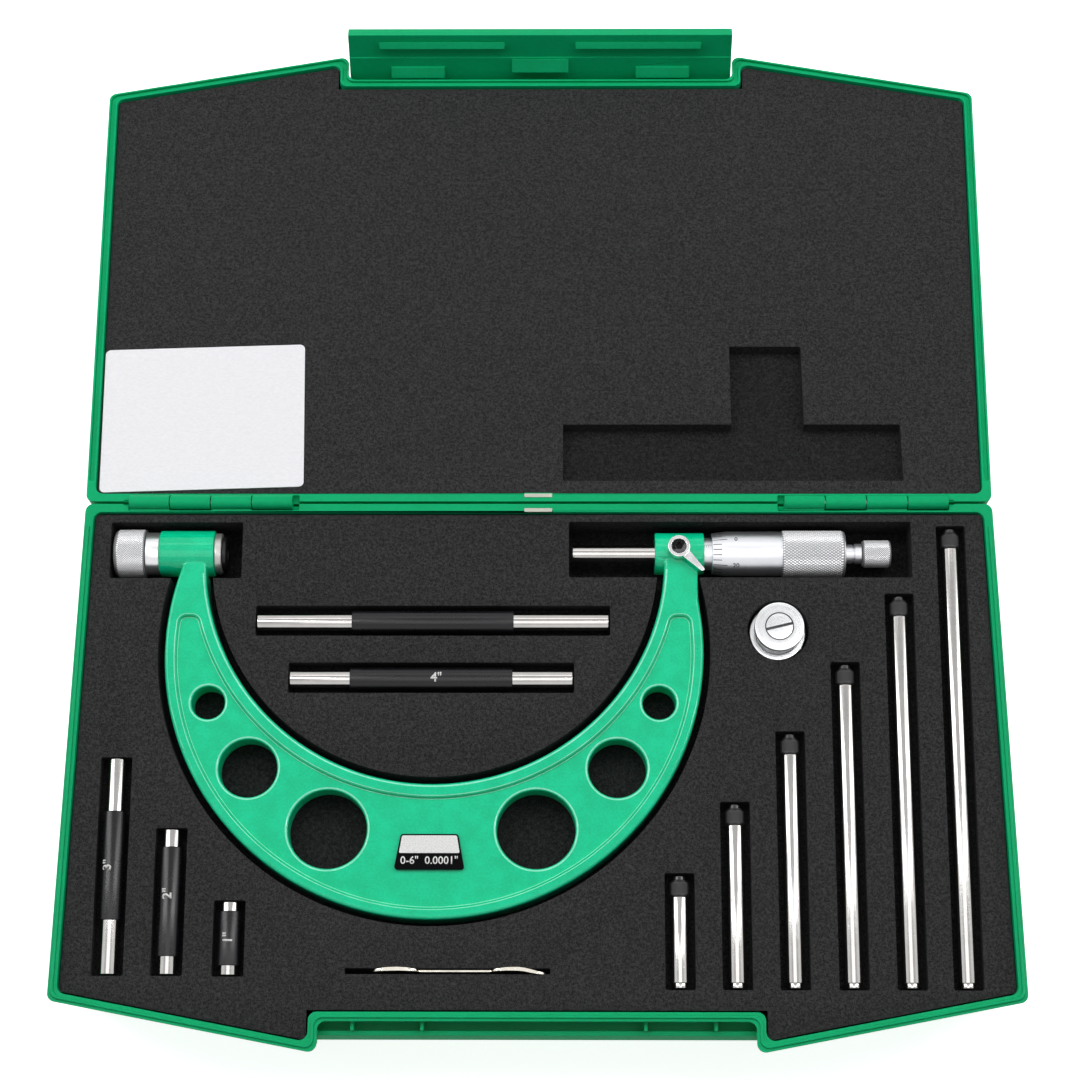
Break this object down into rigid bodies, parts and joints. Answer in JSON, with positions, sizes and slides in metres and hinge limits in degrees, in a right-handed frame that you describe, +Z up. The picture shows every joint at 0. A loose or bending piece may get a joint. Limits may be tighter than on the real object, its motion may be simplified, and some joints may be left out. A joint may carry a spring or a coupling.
{
  "type": "micrometer case",
  "caption": "Hinged plastic case, open flat, with die-cut foam holding a frame micrometer, interchangeable anvils, setting standards, a slotted knob and a spanner.",
  "frame": {"origin": "on the table, under the middle of the base", "axes": "+X right along the hinge, +Y from the base towards the open lid, +Z up"},
  "size_m": [0.3406, 0.3985, 0.0512],
  "materials": {
    "case_green": "satin moulded green plastic",
    "foam": "charcoal closed-cell foam",
    "card_white": "matt white card",
    "pad_cream": "pale stop pad",
    "frame_green": "gloss enamel with fine orange peel",
    "plate": "printed plate",
    "satin_chrome": "satin chrome",
    "steel": "ground steel",
    "black_steel": "blackened steel",
    "black_plastic": "black insulating sleeve",
    "spring_steel": "spring wire"
  },
  "bodies": {
    "case_base": {"base_shell": "case_green", "base_foam_upper": "foam", "base_foam_lower": "foam", "left_hinge_pin": "steel", "right_hinge_pin": "steel", "base_stop_pad": "pad_cream"},
    "lid": {"lid_shell": "case_green", "lid_foam": "foam", "card": "card_white", "lid_stop_pad": "pad_cream"},
    "latch": {"latch_flap": "case_green"},
    "micrometer": {"mic_frame": "frame_green", "name_plate": "plate", "anvil_bush": "steel", "bush_nose": "black_steel", "clamp_ring": "satin_chrome", "spindle_guide": "steel", "barrel": "satin_chrome", "spindle_nut": "steel", "lock_screw": "black_steel"},
    "anvil_clamp": {"clamp_knob": "satin_chrome"},
    "lever": {"lock_lever": "satin_chrome"},
    "spindle": {"spindle": "steel"},
    "thimble": {"thimble": "satin_chrome", "ratchet_stem": "steel"},
    "ratchet": {"ratchet_knob": "satin_chrome", "ratchet_spring": "spring_steel"},
    "slotted_knob": {"slotted_knob_body": "satin_chrome", "slotted_knob_screw": "satin_chrome"},
    "spanner": {"spanner": "satin_chrome"},
    "anvil_1": {"anvil_1_rod": "steel", "anvil_1_collar": "black_steel"},
    "anvil_2": {"anvil_2_rod": "steel", "anvil_2_collar": "black_steel"},
    "anvil_3": {"anvil_3_rod": "steel", "anvil_3_collar": "black_steel"},
    "anvil_4": {"anvil_4_rod": "steel", "anvil_4_collar": "black_steel"},
    "anvil_5": {"anvil_5_rod": "steel", "anvil_5_collar": "black_steel"},
    "anvil_6": {"anvil_6_rod": "steel", "anvil_6_collar": "black_steel"},
    "standard_1_inch": {"standard_1_inch_rod": "steel", "standard_1_inch_sleeve": "black_plastic"},
    "standard_2_inch": {"standard_2_inch_rod": "steel", "standard_2_inch_sleeve": "black_plastic"},
    "standard_3_inch": {"standard_3_inch_rod": "steel", "standard_3_inch_sleeve": "black_plastic"},
    "standard_4_inch": {"standard_4_inch_rod": "steel", "standard_4_inch_sleeve": "black_plastic"},
    "standard_5_inch": {"standard_5_inch_rod": "steel", "standard_5_inch_sleeve": "black_plastic"}
  },
  "joints": [
    {"name": "lid_hinge", "type": "hinge", "parent": "case_base", "child": "lid", "pos_m": [0, 0.09945, 0.0468], "axis": [-1, 0, 0], "range_deg": [-189.74, 0]},
    {"name": "latch_hinge", "type": "hinge", "parent": "lid", "child": "latch", "pos_m": [0, 0.28454, 0.00436], "axis": [-1, 0, 0], "range_deg": [-5, 60]},
    {"name": "micrometer_lift", "type": "slide", "parent": "case_base", "child": "micrometer", "axis": [0, 0, 1], "range_m": [0, 0.055]},
    {"name": "anvil_clamp_turn", "type": "hinge", "parent": "micrometer", "child": "anvil_clamp", "pos_m": [-0.149, 0.08215, 0.0385], "axis": [1, 0, 0], "range_deg": [-360, 360]},
    {"name": "lock_lever_turn", "type": "hinge", "parent": "micrometer", "child": "lever", "pos_m": [0.0511, 0.08215, 0.0385], "axis": [0, 0, 1], "range_deg": [-40, 40]},
    {"name": "spindle_travel", "type": "slide", "parent": "micrometer", "child": "spindle", "axis": [1, 0, 0], "range_m": [-0.001, 0.0065]},
    {"name": "thimble_turn", "type": "hinge", "parent": "spindle", "child": "thimble", "pos_m": [0.09, 0.08215, 0.0385], "axis": [1, 0, 0], "range_deg": [-568, 3690]},
    {"name": "ratchet_turn", "type": "hinge", "parent": "thimble", "child": "ratchet", "pos_m": [0.12, 0.08215, 0.0385], "axis": [1, 0, 0], "continuous": true},
    {"name": "slotted_knob_lift", "type": "slide", "parent": "case_base", "child": "slotted_knob", "axis": [0, 0, 1], "range_m": [0, 0.03]},
    {"name": "spanner_lift", "type": "slide", "parent": "case_base", "child": "spanner", "axis": [0, 0, 1], "range_m": [0, 0.03]},
    {"name": "anvil_1_lift", "type": "slide", "parent": "case_base", "child": "anvil_1", "axis": [0, 0, 1], "range_m": [0, 0.03]},
    {"name": "anvil_2_lift", "type": "slide", "parent": "case_base", "child": "anvil_2", "axis": [0, 0, 1], "range_m": [0, 0.03]},
    {"name": "anvil_3_lift", "type": "slide", "parent": "case_base", "child": "anvil_3", "axis": [0, 0, 1], "range_m": [0, 0.03]},
    {"name": "anvil_4_lift", "type": "slide", "parent": "case_base", "child": "anvil_4", "axis": [0, 0, 1], "range_m": [0, 0.03]},
    {"name": "anvil_5_lift", "type": "slide", "parent": "case_base", "child": "anvil_5", "axis": [0, 0, 1], "range_m": [0, 0.03]},
    {"name": "anvil_6_lift", "type": "slide", "parent": "case_base", "child": "anvil_6", "axis": [0, 0, 1], "range_m": [0, 0.03]},
    {"name": "standard_1_inch_lift", "type": "slide", "parent": "case_base", "child": "standard_1_inch", "axis": [0, 0, 1], "range_m": [0, 0.03]},
    {"name": "standard_2_inch_lift", "type": "slide", "parent": "case_base", "child": "standard_2_inch", "axis": [0, 0, 1], "range_m": [0, 0.03]},
    {"name": "standard_3_inch_lift", "type": "slide", "parent": "case_base", "child": "standard_3_inch", "axis": [0, 0, 1], "range_m": [0, 0.03]},
    {"name": "standard_4_inch_lift", "type": "slide", "parent": "case_base", "child": "standard_4_inch", "axis": [0, 0, 1], "range_m": [0, 0.03]},
    {"name": "standard_5_inch_lift", "type": "slide", "parent": "case_base", "child": "standard_5_inch", "axis": [0, 0, 1], "range_m": [0, 0.03]}
  ],
  "couplings": [
    {"joint": "thimble_turn", "follows": "spindle_travel", "rad_per_m": 9895}
  ]
}
